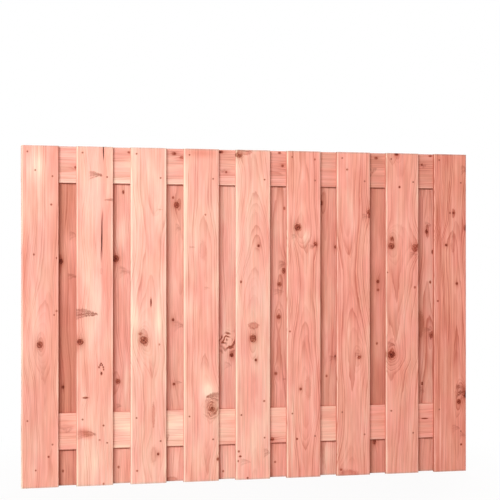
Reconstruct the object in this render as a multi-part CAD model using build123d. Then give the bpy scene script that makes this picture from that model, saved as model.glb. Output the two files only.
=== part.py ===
from build123d import *
import os

# Garden screen of upright boards on two flat rails, the "hit and miss" pattern:
# one row of boards in front of the rails, a second row behind them, each back board
# standing behind the gap between two front boards. Every crossing is nailed twice.
#
# Frame: millimetres, +Z up, X along the panel, the front faces -Y.
# The origin is at ground level in the middle of the panel, half-way through the rails.

# Driving dimensions: the panel
PANEL_WIDTH = 1800.0
PANEL_HEIGHT = 1300.0
FRONT_BOARD_COUNT = 9

# Driving dimensions: the planed boards
BOARD_WIDTH = 140.0
BOARD_THICKNESS = 16.0
BOARD_EDGE_RADIUS = 3.0

# Driving dimensions: the rails
RAIL_WIDTH = 140.0
RAIL_THICKNESS = 16.0
RAIL_EDGE_RADIUS = 3.0
BOTTOM_RAIL_RISE = 139.0
TOP_RAIL_DROP = 0.0

# Driving dimensions: the nails and where they are driven
NAIL_HEAD_DIAMETER = 6.0
NAIL_HEAD_THICKNESS = 1.0
NAIL_SHANK_DIAMETER = 2.6
NAIL_POINT_LENGTH = 4.0
NAIL_HEAD_SINK = 0.3
NAIL_STOP_SHORT = 1.7
NAIL_SIDE_INSET = 23.0
NAIL_RAIL_INSET = 24.0
NAIL_HOLE_CLEARANCE = 0.05
CUT_OVERRUN = 1.0

# Worked out from the driving dimensions
BOARD_PITCH = (PANEL_WIDTH - BOARD_WIDTH) / (FRONT_BOARD_COUNT - 1)
FIRST_FRONT_X = -(PANEL_WIDTH - BOARD_WIDTH) / 2
BACK_BOARD_COUNT = FRONT_BOARD_COUNT - 1
FIRST_BACK_X = FIRST_FRONT_X + BOARD_PITCH / 2
BOARD_Y = (RAIL_THICKNESS + BOARD_THICKNESS) / 2
FACE_Y = RAIL_THICKNESS / 2 + BOARD_THICKNESS
RAIL_HEIGHTS = {
    "top": PANEL_HEIGHT - TOP_RAIL_DROP - RAIL_WIDTH / 2,
    "bottom": BOTTOM_RAIL_RISE + RAIL_WIDTH / 2,
}
NAIL_LENGTH = BOARD_THICKNESS + RAIL_THICKNESS - NAIL_HEAD_SINK - NAIL_STOP_SHORT
NAIL_SIDE_STEP = BOARD_WIDTH / 2 - NAIL_SIDE_INSET
NAIL_RISE_STEP = RAIL_WIDTH / 2 - NAIL_RAIL_INSET


def upright_board(x, y):
    """A planed board with its four long edges eased, standing on the ground at x, y."""
    section = RectangleRounded(BOARD_WIDTH, BOARD_THICKNESS, BOARD_EDGE_RADIUS)
    return Pos(x, y, 0) * extrude(section, PANEL_HEIGHT)


def flat_rail(height):
    """A planed rail lying along X, its middle at the given height."""
    section = Plane.YZ * RectangleRounded(RAIL_THICKNESS, RAIL_WIDTH, RAIL_EDGE_RADIUS)
    return Pos(0, 0, height) * extrude(section, PANEL_WIDTH / 2, both=True)


def nail(clearance=0.0, overrun=0.0):
    """A flat-headed nail along +Z, with the top of its head at the origin.

    With a clearance it is the hole that the nail sits in: wider all round and a
    little deeper, but with the same seat under the head. The overrun carries the
    head's recess on past the face of the board.
    """
    head_radius = NAIL_HEAD_DIAMETER / 2 + clearance
    shank_radius = NAIL_SHANK_DIAMETER / 2 + clearance
    point_start = NAIL_LENGTH - NAIL_POINT_LENGTH
    upright = (Align.CENTER, Align.CENTER, Align.MIN)
    head = Pos(0, 0, -overrun) * Cylinder(head_radius, NAIL_HEAD_THICKNESS + overrun, align=upright)
    shank = Cylinder(shank_radius, point_start, align=upright)
    point = Pos(0, 0, point_start) * Cone(shank_radius, 0, NAIL_POINT_LENGTH + clearance, align=upright)
    return head + shank + point


def nail_places(board_x, side):
    """Where a board is nailed: two places on a diagonal at each rail, by rail name.

    Seen from the front, the diagonal falls to the right in both rows. Where a front and a
    back board overlap, one is then nailed high and the other low, so no two nails meet in
    the rail. The side is -1 for the front row and +1 for the back row. Each place points
    into the board.
    """
    places = {}
    for rail_name, height in RAIL_HEIGHTS.items():
        places[rail_name] = []
        for step in (-1, 1):
            origin = (
                board_x + step * NAIL_SIDE_STEP,
                side * (FACE_Y - NAIL_HEAD_SINK),
                height - step * NAIL_RISE_STEP,
            )
            places[rail_name].append(Plane(origin, z_dir=(0, -side, 0)))
    return places


os.makedirs("parts", exist_ok=True)

nail_solid = nail()
nail_hole = nail(NAIL_HOLE_CLEARANCE, NAIL_HEAD_SINK + CUT_OVERRUN)
rows = {
    "front": (-1, FRONT_BOARD_COUNT, FIRST_FRONT_X),
    "back": (1, BACK_BOARD_COUNT, FIRST_BACK_X),
}
rail_holes = {rail_name: [] for rail_name in RAIL_HEIGHTS}

# The two rows of boards, each with the holes of its own nails, and the nails by row and rail
for row_name, (side, count, first_x) in rows.items():
    row_nails = {rail_name: [] for rail_name in RAIL_HEIGHTS}
    for index in range(count):
        board_x = first_x + index * BOARD_PITCH
        places = nail_places(board_x, side)
        holes = []
        for rail_name, planes in places.items():
            for plane in planes:
                holes.append(plane * nail_hole)
                rail_holes[rail_name].append(plane * nail_hole)
                row_nails[rail_name].append(plane * nail_solid)
        board = upright_board(board_x, side * BOARD_Y) - holes
        export_step(board, f"parts/{row_name}_board_{index + 1}.step")
    for rail_name, nails in row_nails.items():
        export_step(Compound(nails), f"parts/{row_name}_nails_{rail_name}.step")

# The rails, with the blind holes that the nail points are driven into from both sides
for rail_name, height in RAIL_HEIGHTS.items():
    rail = flat_rail(height) - rail_holes[rail_name]
    export_step(rail, f"parts/{rail_name}_rail.step")
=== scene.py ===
# %% [markdown]
# # A garden screen of larch boards
# The panel is a row of upright planed boards in front of two flat rails and a second row behind them, nailed
# through at every crossing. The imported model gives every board, rail and nail at its real size and place, so this
# lesson only has to dress them: real edges and dents in the mesh, and wood that looks as if it came out of a log.

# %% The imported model
import functools
import math
import bpy
import numpy as np
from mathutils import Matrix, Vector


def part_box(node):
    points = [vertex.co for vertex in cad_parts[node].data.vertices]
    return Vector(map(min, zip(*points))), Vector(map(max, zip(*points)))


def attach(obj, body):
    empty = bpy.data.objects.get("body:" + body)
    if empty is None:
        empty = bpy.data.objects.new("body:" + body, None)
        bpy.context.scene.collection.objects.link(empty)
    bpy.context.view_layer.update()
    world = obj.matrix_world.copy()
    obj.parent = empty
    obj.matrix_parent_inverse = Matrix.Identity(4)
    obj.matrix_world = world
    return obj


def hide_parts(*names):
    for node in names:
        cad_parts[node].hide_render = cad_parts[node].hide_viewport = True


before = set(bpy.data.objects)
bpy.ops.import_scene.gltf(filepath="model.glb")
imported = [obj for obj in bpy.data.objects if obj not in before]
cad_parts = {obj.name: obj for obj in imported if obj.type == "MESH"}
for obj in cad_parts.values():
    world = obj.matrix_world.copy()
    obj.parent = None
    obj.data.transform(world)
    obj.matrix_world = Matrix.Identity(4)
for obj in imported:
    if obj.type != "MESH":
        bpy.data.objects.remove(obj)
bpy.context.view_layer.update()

MM = 0.001
planks = sorted(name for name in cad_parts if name.endswith("_rail") or "_board_" in name)
nail_groups = sorted(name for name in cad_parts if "_nails_" in name)
print("planks", len(planks), "groups of nails", len(nail_groups))

# %% [markdown]
# ## Measuring a plank
# Boards and rails are the same planed stock, so one recipe makes them all. It works in the plank's own
# millimetres: across its width, through its thickness and along its length. A board stands with its length up, and
# a rail lies with its length to the right, so a plank also has to know how its own directions lie in the panel.


# %% Plank sizes and places
def in_mm(box):
    """The lowest and highest corner of a box, in millimetres."""
    return [np.array(corner) / MM for corner in box]


def measure_plank(name):
    """The plank's length, width and thickness, and how its own directions lie in the panel."""
    low, high = in_mm(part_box(name))
    middle = (low + high) / 2
    if name.endswith("_rail"):
        length, thickness, width = high - low
        turn = np.array([[0, 0, -1], [0, 1, 0], [1, 0, 0]])
        start = np.array([low[0], middle[1], middle[2]])
    else:
        width, thickness, length = high - low
        turn = np.eye(3)
        start = np.array([middle[0], middle[1], low[2]])
    return {"length": length, "width": width, "thickness": thickness, "turn": turn, "start": start}


sizes = {name: measure_plank(name) for name in planks}
board = sizes["front_board_1"]
print("a board is", np.round([board["width"], board["thickness"], board["length"]], 1), "mm")

# %% [markdown]
# ## Where the nails are
# Each crossing has two nails on a diagonal. The boxes of the nail groups say how far the outermost heads stand
# from the edges of the first board and of the top rail, and the same two distances hold at every crossing.

# %% Nail places on a board
NAIL_HEAD_RADIUS = 3.0
first_low, _ = in_mm(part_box("front_board_1"))
rail_boxes = [in_mm(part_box(rail)) for rail in ("top_rail", "bottom_rail")]
nails_low, nails_high = in_mm(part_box("front_nails_top"))
side_inset = nails_low[0] + NAIL_HEAD_RADIUS - first_low[0]
rail_inset = rail_boxes[0][1][2] - (nails_high[2] - NAIL_HEAD_RADIUS)
nail_across = board["width"] / 2 - side_inset
nail_spots = []
for rail_low, rail_high in rail_boxes:
    nail_spots.append((-nail_across, rail_high[2] - rail_inset))
    nail_spots.append((nail_across, rail_low[2] + rail_inset))
print("nails on each board, across and up in mm:", [tuple(map(int, spot)) for spot in nail_spots])

# %% [markdown]
# ## What each board looks like
# Every board came out of a log at its own place, and that place is the whole secret of its figure. With the heart
# of the log (the pith) straight behind the board the growth rings make arches, and with the pith off to one side
# they make straight stripes. The list below says, for each plank, how far behind the face the pith is, how wide a
# ring is, how deep the colour is and how bold the lines are. Path and rise are lists of turning points along the
# plank: where the pith is across the board, and how many rings the log gains. No log tapers evenly, and where the
# rise falls away downwards the arches open, and where it climbs again they close. What lies in the wood is listed
# as across, up, half width, half height and strength, all judged. Knots are branches cut across. Spikes are
# branches cut lengthways, which close to a tip on the right or, with a width below zero, on the left. Tongues are
# places where the saw ran almost along one ring, with a tip below or, with a height below zero, above. Stains are
# reddish places, patches are soft changes of redness, and swells are bulges of the log that close the arches into
# loops. Swirls are places where the wood has grown round and round, and fades have lost some of their red. Splits
# have a lean instead of a strength.

# %% The planks one by one
# Patches at -68 across darken a board's left edge and hold back its painted highlight there.
LOOKS = {
    "front_board_1": dict(
        behind=52, ring=5.0, tone=0.02, bold=0.75, path=[(0, 30), (540, 10), (780, 32), (1300, 40)],
        rise=[(0, 0.2), (380, 0.4), (540, -2.0), (820, 1.4), (1300, 1.6)],
        knots=[(-18, 1206, 3, 3, 0.7), (42, 1076, 3.5, 3.5, 0.85), (-23, 886, 3, 4, 0.7), (62, 873, 2.5, 3, 0.8),
               (62, 671, 4, 4, 0.4), (53, 656, 3, 3, 0.5), (-1, 543, 11, 13, 0.9), (32, 117, 3.5, 4, 0.8),
               (-16, 67, 3, 3, 0.75)],
        tongues=[(12, 470, 24, 43, 0.5), (32, 715, 26, -32, 0.3)],
        patches=[(-62, 890, 12, 150, 0.22), (-15, 1225, 38, 60, -0.4), (52, 950, 22, 330, 0.25),
                 (20, 400, 30, 200, 0.2), (-10, 620, 30, 90, -0.1), (0, 950, 90, 320, -0.07)],
        fades=[(-20, 300, 80, 380, 0.46), (0, 950, 80, 300, 0.48)]),
    "front_board_2": dict(
        behind=80, ring=4.0, tone=-0.13, bold=0.75, path=[(0, -150)], rise=[(0, 0), (1300, 2.5)],
        knots=[(-56, 552, 12, 11, 0.95), (24, 468, 3, 3, 1.2), (20, 462, 2.5, 3.5, 1.2), (16, 454, 2.5, 4, 0.9),
               (28, 462, 2.5, 3.5, 1.2), (32, 454, 2.5, 4, 0.9), (33, 445, 2.5, 4, 0.6), (25, 430, 3.5, 6, 1.0),
               (33, 230, 3.5, 3.5, 0.6), (18, 175, 3.5, 3.5, 0.5), (33, 6, 3, 4, 0.7), (-36, 338, 10, 3.5, 1.2)],
        spikes=[(4, 1192, 24, 18, 0.9), (54, 1096, -18, 8, 1.0), (-36, 660, 46, 26, 1.4), (-32, 199, 36, 22, 0.55)],
        stains=[(24, 823, 5, 12, 0.2)],
        patches=[(48, 900, 20, 320, 0.2), (45, 420, 22, 90, 0.2), (-20, 1000, 34, 260, -0.05),
                 (-15, 90, 56, 100, -0.24), (10, 620, 20, 80, -0.12), (-35, 420, 20, 80, 0.15),
                 (-68, 650, 6, 800, 0.42), (-42, 204, 18, 14, 0.7), (-22, 194, 14, 8, 0.4)],
        fades=[(0, 650, 200, 900, 0.18)],
        splits=[(27, 958, 2.6, 98, -7), (33, 1280, 2.0, 34, 0)]),
    "front_board_3": dict(
        behind=62, ring=5.6, tone=-0.19, bold=0.65,
        path=[(0, 20), (440, 21), (560, 8), (750, 12), (1000, 17), (1300, 14)],
        rise=[(0, 0.4), (110, -0.7), (210, 0.5), (400, 0.5), (530, -1.6), (930, 1.2), (1180, -1.2), (1300, -1.4)],
        knots=[(-19, 555, 15, 15, 0.85), (-31, 580, 8, 5, 0.5), (42, 538, 3, 4, 0.35), (37, 113, 4.5, 5, 0.95),
               (-45, 51, 3.5, 3.5, 0.7), (9, 701, 3, 15, 1.0)],
        spikes=[(45, 1061, 10, 5, 0.5)],
        stains=[(19, 265, 5, 46, 0.6), (20, 110, 10, 30, 0.3)],
        tongues=[(14, 454, 17, 49, 0.9), (20, 1085, 34, 45, 0.35)],
        patches=[(-58, 1000, 14, 400, -0.2), (10, 950, 26, 200, 0.12), (-20, 640, 46, 50, -0.13),
                 (0, 330, 40, 160, 0.12), (42, 590, 24, 50, -0.14)],
        fades=[(0, 650, 200, 900, 0.16)]),
    "front_board_4": dict(
        behind=50, ring=5.0, tone=-0.12, bold=0.8, path=[(0, 10), (280, 30), (480, 12), (905, 7), (1300, 10)],
        rise=[(0, -0.8), (300, -3.4), (520, -0.8), (720, -0.7), (920, -0.6), (1120, 1.0), (1300, 1.2)],
        knots=[(16, 1043, 3, 3.5, 0.7), (66, 85, 5, 6, 0.6), (44, 281, 10, 10, 0.6)],
        spikes=[(-35, 916, 12, 4, 0.6), (23, 756, 10, 7, 0.4), (46, 332, -26, 20, 0.9)],
        swirls=[(42, 284, 44, 48, 0.7)],
        stains=[(7, 905, 13, 38, 0.22)],
        tongues=[(14, 466, 22, -36, 0.9), (24, 91, 22, 69, 0.8)],
        patches=[(27, 354, 18, 24, -0.5), (34, 285, 32, 36, -0.2), (-62, 1000, 10, 400, -0.25),
                 (30, 1250, 40, 50, 0.15), (0, 1285, 60, 14, 0.4), (10, 620, 40, 110, 0.1)],
        swells=[(42, 290, 24, 30, 3.4)], fades=[(0, 1000, 200, 400, 0.16)]),
    "front_board_5": dict(
        behind=60, ring=5.0, tone=-0.13, bold=0.66, path=[(0, 6), (550, 2), (900, 12), (1220, 0), (1300, 0)],
        rise=[(0, -4.6), (260, -3.0), (560, -3.0), (1300, 7.0)],
        knots=[(-57, 1280, 14, 11, 0.8), (22, 922, 5, 5, 1.0), (-49, 780, 3.5, 5, 0.8), (0, 556, 13, 15, 0.9),
               (11, 471, 4.5, 5, 0.95), (45, 308, 4, 4, 0.55), (-22, 6, 4, 4, 0.7), (-58, 112, 4, 4, 0.7),
               (-52, 92, 5, 4, 0.75), (-60, 74, 3, 4, 0.6)],
        spikes=[(-34, 1294, 26, 7, 0.9), (56, 104, 12, 22, 0.6), (-30, 70, 20, 16, 0.4)],
        stains=[(2, 607, 20, 13, 0.75), (-36, 1292, 30, 12, 0.7)],
        tongues=[(14, 180, 10, -60, 0.3), (5, 1010, 34, -60, 0.25), (2, 690, 40, -40, 0.25)],
        patches=[(-62, 950, 10, 350, -0.25), (10, 700, 50, 60, -0.1), (50, 960, 18, 160, 0.15),
                 (-10, 130, 40, 60, -0.1), (0, 330, 50, 120, 0.08)],
        fades=[(0, 800, 200, 700, 0.16)]),
    "front_board_6": dict(
        behind=55, ring=5.4, tone=0.0, bold=1.2, path=[(0, 14), (330, 14), (650, 6), (900, 14), (1300, 0)],
        rise=[(0, 1.2), (330, -2.0), (740, 1.1), (880, 0.9), (1010, -1.0), (1300, -0.2)],
        knots=[(-26, 996, 12.5, 12.5, 1.0), (48, 928, 8, 9, 0.9), (-57, 582, 3.5, 3.5, 0.65),
               (-13, 352, 4.5, 5, 0.95), (-28, 154, 4, 4, 0.9), (46, 1268, 3, 4, 0.6)],
        spikes=[(-40, 960, 10, 12, 0.4), (36, 920, 14, 10, 0.5)],
        stains=[(18, 358, 13, 44, 0.3)],
        tongues=[(10, 925, 24, 36, 1.0), (12, 510, 30, -60, 0.4)],
        patches=[(10, 960, 16, 26, -0.35), (0, 1150, 50, 120, 0.08), (-50, 250, 14, 200, -0.1)]),
    "front_board_7": dict(
        behind=60, ring=4.8, tone=0.055, bold=1.1, path=[(0, -20), (250, -8), (450, -3), (870, -12), (1300, -14)],
        rise=[(0, -2.8), (150, -0.7), (330, -0.6), (450, -1.8), (810, 1.3), (1060, -1.3), (1300, -1.3)],
        knots=[(69, 1052, 14, 18, 0.8), (-27, 1230, 4, 4, 0.5), (23, 478, 9, 10, 0.85), (-52, 24, 6, 5, 0.6)],
        spikes=[(52, 1040, 14, 16, 0.5), (18, 486, 14, 10, 0.4)],
        stains=[(-20, 0, 38, 22, 0.6)],
        tongues=[(-15, 937, 36, 63, 0.55), (-15, 694, 25, -54, 0.35), (-10, 80, 34, -40, 0.3),
                 (-6, 450, 24, 115, 1.2)],
        patches=[(-68, 650, 6, 800, 0.15), (-10, 1000, 26, 70, -0.2), (30, 430, 30, 60, -0.12),
                 (0, 200, 50, 90, -0.08)]),
    "front_board_8": dict(
        behind=90, ring=5.4, tone=0.06, bold=0.9,
        path=[(0, -70), (300, -50), (480, -38), (620, -42), (800, -24), (1010, -3), (1300, 10)],
        rise=[(0, 4.6), (250, 4.5), (400, 3.8), (480, 0.8), (930, -2.0), (1050, -0.6), (1300, -1.2)],
        knots=[(-25, 1295, 8, 5, 1.0), (-12, 1163, 4, 4.5, 1.0), (-44, 952, 8, 10, 0.6), (-47, 923, 13, 12, 0.9),
               (54, 916, 14, 16, 0.6), (66, 924, 6, 8, 0.7), (-63, 816, 2.5, 3, 0.6), (54, 755, 4, 5, 0.7),
               (-47, 483, 16, 15, 1.0)],
        spikes=[(-47, 524, 16, 16, 0.7), (50, 890, 16, 12, 0.5)],
        tongues=[(-25, 790, 27, 100, 1.1), (-33, 607, 35, 75, 1.0), (-3, 980, 18, -34, 0.4),
                 (-44, 1276, 30, 26, 0.6)],
        patches=[(0, 1010, 34, 60, -0.15), (-20, 420, 40, 60, 0.15), (40, 300, 30, 200, -0.1)],
        swells=[(-46, 490, 36, 44, 0.8)]),
    "front_board_9": dict(
        behind=60, ring=4.2, tone=0.24, bold=1.7,
        path=[(0, 30), (300, 36), (600, 30), (935, 13), (1040, 25), (1300, 40)],
        rise=[(0, -3.4), (250, -3.2), (400, -3.0), (640, -1.3), (900, -1.2), (1040, 0.7), (1300, 0.9)],
        knots=[(15, 1060, 6, 5, 0.75), (-1, 1060, 3.5, 3.5, 0.7), (-17, 928, 5, 5, 0.85), (29, 770, 5, 5, 0.8),
               (66, 999, 6, 12, 0.7), (-54, 699, 4, 4, 0.6), (66, 316, 9, 16, 1.15), (38, 285, 8, 10, 1.0),
               (50, 345, 8, 6, 0.5), (48, 109, 4, 4, 0.9)],
        spikes=[(48, 330, 22, 30, 1.1), (26, 177, 16, 18, 0.8), (56, 147, 14, 16, 0.5), (60, 1237, 12, 24, 0.6)],
        stains=[(13, 935, 7, 40, 0.5)], swirls=[(46, 326, 30, 34, 0.9)],
        tongues=[(29, 510, 19, -90, 1.4), (26, 985, 26, -45, 0.6), (30, 100, 16, 60, 0.5)],
        patches=[(-68, 650, 6, 800, 0.25), (40, 1040, 26, 70, -0.2), (-30, 1000, 26, 200, -0.1),
                 (30, 600, 30, 120, 0.15), (-20, 120, 40, 100, -0.1)]),
    "back_board_1": dict(
        behind=60, path=[(0, -40)], ring=4.6, tone=0.43, bold=0.8, rise=[(0, 0), (1300, 4.5)],
        knots=[(-22, 860, 7, 10, 1.0), (-15, 378, 5, 6, 0.7), (-15, 56, 4, 5, 0.6)],
        spikes=[(22, 802, 18, 14, 0.7), (24, 960, 14, 20, 0.4)],
        patches=[(10, 920, 30, 60, -0.2), (0, 560, 40, 160, 0.1), (0, 70, 60, 80, -0.12)],
        fades=[(0, 60, 80, 90, 0.4)]),
    "back_board_2": dict(
        behind=48, path=[(0, -40)], ring=5.2, tone=-0.04, bold=0.8, rise=[(0, 0), (1300, 2.5)],
        knots=[(9, 1129, 4, 7, 0.9), (-20, 871, 13, 13, 1.0), (-11, 395, 9, 9, 0.75), (-9, 63, 4, 5, 0.6)],
        spikes=[(14, 820, 20, 26, 0.5), (-8, 300, 10, 12, 0.6)],
        patches=[(10, 960, 24, 60, -0.2), (10, 640, 24, 120, 0.15)]),
    "back_board_3": dict(
        behind=44, path=[(0, 30)], ring=5.0, tone=0.06, bold=0.8, rise=[(0, 0), (1300, -5.2)],
        knots=[(11, 1081, 11, 12, 0.8), (-3, 1110, 4, 5, 0.6), (-3, 631, 5, 6, 0.8), (0, 380, 5, 5, 0.8)],
        spikes=[(20, 610, 18, 24, 0.8), (18, 990, 10, 24, 0.5), (19, 386, 13, 9, 0.8)],
        stains=[(-10, 8, 22, 9, 0.6)],
        patches=[(0, 70, 60, 80, -0.33), (0, 850, 40, 150, -0.05)]),
    "back_board_4": dict(
        behind=70, path=[(0, -60)], ring=4.4, tone=-0.08, bold=0.7, rise=[(0, 0), (1300, 3.5)],
        knots=[(24, 490, 7, 8, 1.25), (-10, 31, 3.5, 4, 0.8)], spikes=[(8, 450, 14, 20, 0.3)],
        swirls=[(6, 546, 62, 60, 1.45)],
        patches=[(0, 70, 60, 80, -0.28), (0, 900, 40, 200, -0.05)]),
    "back_board_5": dict(
        behind=40, path=[(0, 8)], ring=5.0, tone=0.07, bold=0.8, rise=[(0, 0), (1300, 6.2)],
        knots=[(32, 1073, 4, 6, 0.6), (29, 824, 7, 12, 0.8), (12, 769, 8, 9, 0.8), (9, 639, 8, 8, 0.85),
               (-3, 413, 6, 6, 0.75), (-6, 60, 4, 4, 0.6)],
        spikes=[(24, 850, 14, 20, 0.6), (35, 390, 10, 5, 0.6), (10, 740, 20, 14, 0.4)],
        patches=[(20, 480, 20, 60, 0.12), (0, 70, 60, 80, -0.05)]),
    "back_board_6": dict(
        behind=50, path=[(0, -16)], ring=5.2, tone=0.17, bold=1.25, rise=[(0, 0), (1300, -4.5)],
        knots=[(-21, 1096, 6, 9, 0.9), (38, 919, 5, 6, 0.8), (39, 477, 6, 6, 1.0), (0, 399, 4, 5, 0.6)],
        spikes=[(-26, 700, 8, 40, 0.5), (24, 470, 14, 14, 0.4)],
        patches=[(0, 60, 200, 110, -0.42), (-24, 900, 14, 200, 0.15)]),
    "back_board_7": dict(
        behind=64, path=[(0, 70)], ring=4.6, tone=0.3, bold=0.6, rise=[(0, 0), (1300, 4.0)],
        knots=[(10, 779, 6, 7, 0.85), (11, 745, 5, 5, 0.6), (6, 527, 4, 5, 0.7), (-4, 126, 7, 9, 1.0)],
        patches=[(10, 1000, 30, 160, 0.06), (0, 90, 60, 80, -0.12), (0, 320, 60, 140, 0.15)],
        fades=[(0, 60, 80, 90, 0.3)]),
    "back_board_8": dict(
        behind=46, path=[(0, 18)], ring=5.0, tone=0.1, bold=1.15, rise=[(0, 0), (1300, 5.7)],
        knots=[(13, 984, 6, 9, 1.0), (39, 900, 4, 8, 0.9), (29, 776, 4, 6, 0.8), (-6, 358, 4, 9, 0.8),
               (34, 560, 9, 14, 0.7)],
        stains=[(-24, 602, 24, 54, 0.5)],
        spikes=[(16, 580, 16, 14, 0.8), (20, 1010, 14, 20, 0.6), (-8, 330, 12, 26, 0.5)],
        patches=[(0, 850, 30, 60, 0.1), (-20, 590, 26, 60, 0.6)]),
    "top_rail": dict(
        behind=52, path=[(0, 14)], ring=4.8, tone=0.08, bold=0.8, rise=[(0, 0), (1800, 4.5)],
        knots=[(10, 206, 5, 6, 0.6), (-52, 411, 4, 6, 0.6), (-51, 587, 6, 8, 0.8), (-36, 617, 6, 8, 0.6),
               (-61, 774, 5, 8, 0.8), (17, 794, 5, 5, 0.6), (-62, 1012, 4, 6, 0.7), (-11, 1024, 5, 5, 0.6),
               (-50, 1416, 5, 7, 0.6), (-63, 1649, 4, 7, 0.7), (-26, 1614, 5, 6, 0.6)],
        spikes=[(14, 780, 6, 14, 0.6), (1, 1401, 12, 22, 0.7), (20, 1390, 8, 12, 0.6), (-20, 1620, 8, 14, 0.5)],
        patches=[(0, 280, 80, 260, -0.16), (0, 1004, 80, 60, 0.1), (0, 1480, 80, 260, 0.25),
                 (0, 600, 80, 420, -0.1), (64, 400, 13, 560, -0.4)]),
    "bottom_rail": dict(
        behind=48, path=[(0, -20)], ring=5.0, tone=-0.1, bold=0.7, rise=[(0, 0), (1800, -5.0)],
        knots=[(56, 981, 7, 9, 0.8), (37, 564, 4, 6, 0.5), (-9, 1625, 2.5, 14, 1.0)],
        spikes=[(34, 560, 12, 12, 0.6), (50, 960, 10, 12, 0.7), (-6, 172, 12, 30, 0.3)],
        patches=[(0, 174, 80, 70, 0.1), (0, 560, 80, 230, -0.42), (0, 1530, 80, 200, 0.22)],
        swells=[(-6, 150, 26, 60, 1.0)]),
}
INSIDE = ("knots", "spikes", "stains", "splits")
for kind in INSIDE + ("tongues", "swirls", "patches", "swells", "fades"):
    for look in LOOKS.values():
        look.setdefault(kind, [])
    print(kind, sum(len(look[kind]) for look in LOOKS.values()))

# %% [markdown]
# ## The surface of a planed board
# A planer leaves a flat board, and a cutter eases its four long edges. The section is easy to write down as a half
# thickness at each place across: constant on the flat, and falling along a quarter circle at the edges. Carried
# along the length that gives the whole surface as one grid, and the sawn ends fill the two open sections. A plain
# box with a bevel would do for a far view, but a grid of our own puts vertices where nails and splits need them.

# %% The board as a grid
EDGE_RADIUS = 3.0
EDGE_STEPS = 4
THROUGH_STEPS = 4
COLUMN_STEP = 5.0
ROW_STEP = 8.0


def spread(start, stop, step, spots, reach, fine):
    """Places from start to stop about a step apart, and closer ones for some reach about each spot."""
    count = int(round((stop - start) / step))
    places = [np.linspace(start, stop, count + 1)]
    for spot in spots:
        places.append(spot + np.arange(-reach, reach + fine / 2, fine))
    places = np.unique(np.round(np.concatenate(places), 2).clip(start, stop))
    return places[np.append(np.diff(places) > fine / 2, True)]


def plank_section(width, thickness, columns):
    """Places across and the half thickness there: flat, then a quarter circle down to each edge."""
    angle = np.linspace(0, math.pi / 2, EDGE_STEPS + 1)[1:]
    flat_half = width / 2 - EDGE_RADIUS
    turn_out = flat_half + EDGE_RADIUS * np.sin(angle)
    turn_down = thickness / 2 - EDGE_RADIUS + EDGE_RADIUS * np.cos(angle)
    across = np.concatenate([-turn_out[::-1], columns, turn_out])
    half = np.concatenate([turn_down[::-1], np.full(len(columns), thickness / 2), turn_down])
    return across, half


def plank_grid(across, half, rows):
    """The closed surface of a plank: vertices in its own millimetres, faces of four, and which faces are ends.

    A vertex of the section stands at (across, share times half thickness), with the share running from -1 on the
    front to 1 on the back. The rim of the section, carried along the rows, is the long surface, and the section's
    inner vertices fill the first and last row as ends.
    """
    n, k, m = len(across), THROUGH_STEPS, len(rows)
    share = np.linspace(-1, 1, k + 1)
    rim_j = np.concatenate([np.arange(n), np.full(k, n - 1), np.arange(n - 2, -1, -1), np.zeros(k - 1, int)])
    rim_i = np.concatenate([np.zeros(n, int), np.arange(1, k + 1), np.full(n - 1, k), np.arange(k - 1, 0, -1)])
    p = len(rim_j)
    rim = np.stack([across[rim_j], share[rim_i] * half[rim_j]], axis=1)
    long_part = np.concatenate([np.tile(rim, (m, 1)), np.repeat(rows, p)[:, None]], axis=1)
    inner_j, inner_i = (grid.ravel() for grid in np.meshgrid(np.arange(1, n - 1), np.arange(1, k), indexing="ij"))
    inner = np.stack([across[inner_j], share[inner_i] * half[inner_j]], axis=1)
    ends = [np.column_stack([inner, np.full(len(inner), row)]) for row in (rows[0], rows[-1])]
    vertices = np.concatenate([long_part] + ends)

    here = np.arange(p)
    after = np.roll(here, -1)
    ring = np.stack([here, after, after + p, here + p], axis=1)
    faces = [(ring[None] + p * np.arange(m - 1)[:, None, None]).reshape(-1, 4)]
    for end, row in enumerate((0, m - 1)):
        index = np.zeros((n, k + 1), int)
        index[rim_j, rim_i] = row * p + here
        index[inner_j, inner_i] = m * p + end * len(inner) + np.arange(len(inner))
        corners = [index[:-1, :-1], index[1:, :-1], index[1:, 1:], index[:-1, 1:]]
        quads = np.stack(corners, axis=-1).reshape(-1, 4)
        faces.append(quads if end else quads[:, ::-1])
    is_end = np.arange(sum(map(len, faces))) >= len(faces[0])
    return vertices, np.concatenate(faces), is_end


print("steps round an eased edge:", EDGE_STEPS, "steps through a sawn end:", THROUGH_STEPS)

# %% [markdown]
# ## Dents and splits
# A hammer drives each nail head just below the face and bruises the wood round it, and one board has dried with a
# long split. Both are real hollows, so they are pressed into the grid, which has extra rows and columns there.

# %% Pressing hollows into a face
DENT_RADIUS = 4.8
DENT_DEPTH = 0.9
SPLIT_DEPTH = 5.0
SPLIT_SWAY, SPLIT_WAVE = 0.8, 9.0


def ease(value, start, stop):
    """Runs smoothly from 0 where value is start to 1 where it is stop."""
    share = ((value - start) / (stop - start)).clip(0, 1)
    return share * share * (3 - 2 * share)


def ripple(across, along, seed, size_across, size_along, waves=6):
    """An uneven field between about -1 and 1: sine waves of random direction and start, added up."""
    random = np.random.default_rng(seed)
    turns = random.normal(size=(waves, 2)) * 2 * math.pi
    begin = random.uniform(0, 2 * math.pi, waves)
    total = np.zeros(np.shape(across))
    for (turn_across, turn_along), start in zip(turns, begin):
        total += np.sin(turn_across * across / size_across + turn_along * along / size_along + start)
    return total / math.sqrt(waves)


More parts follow.
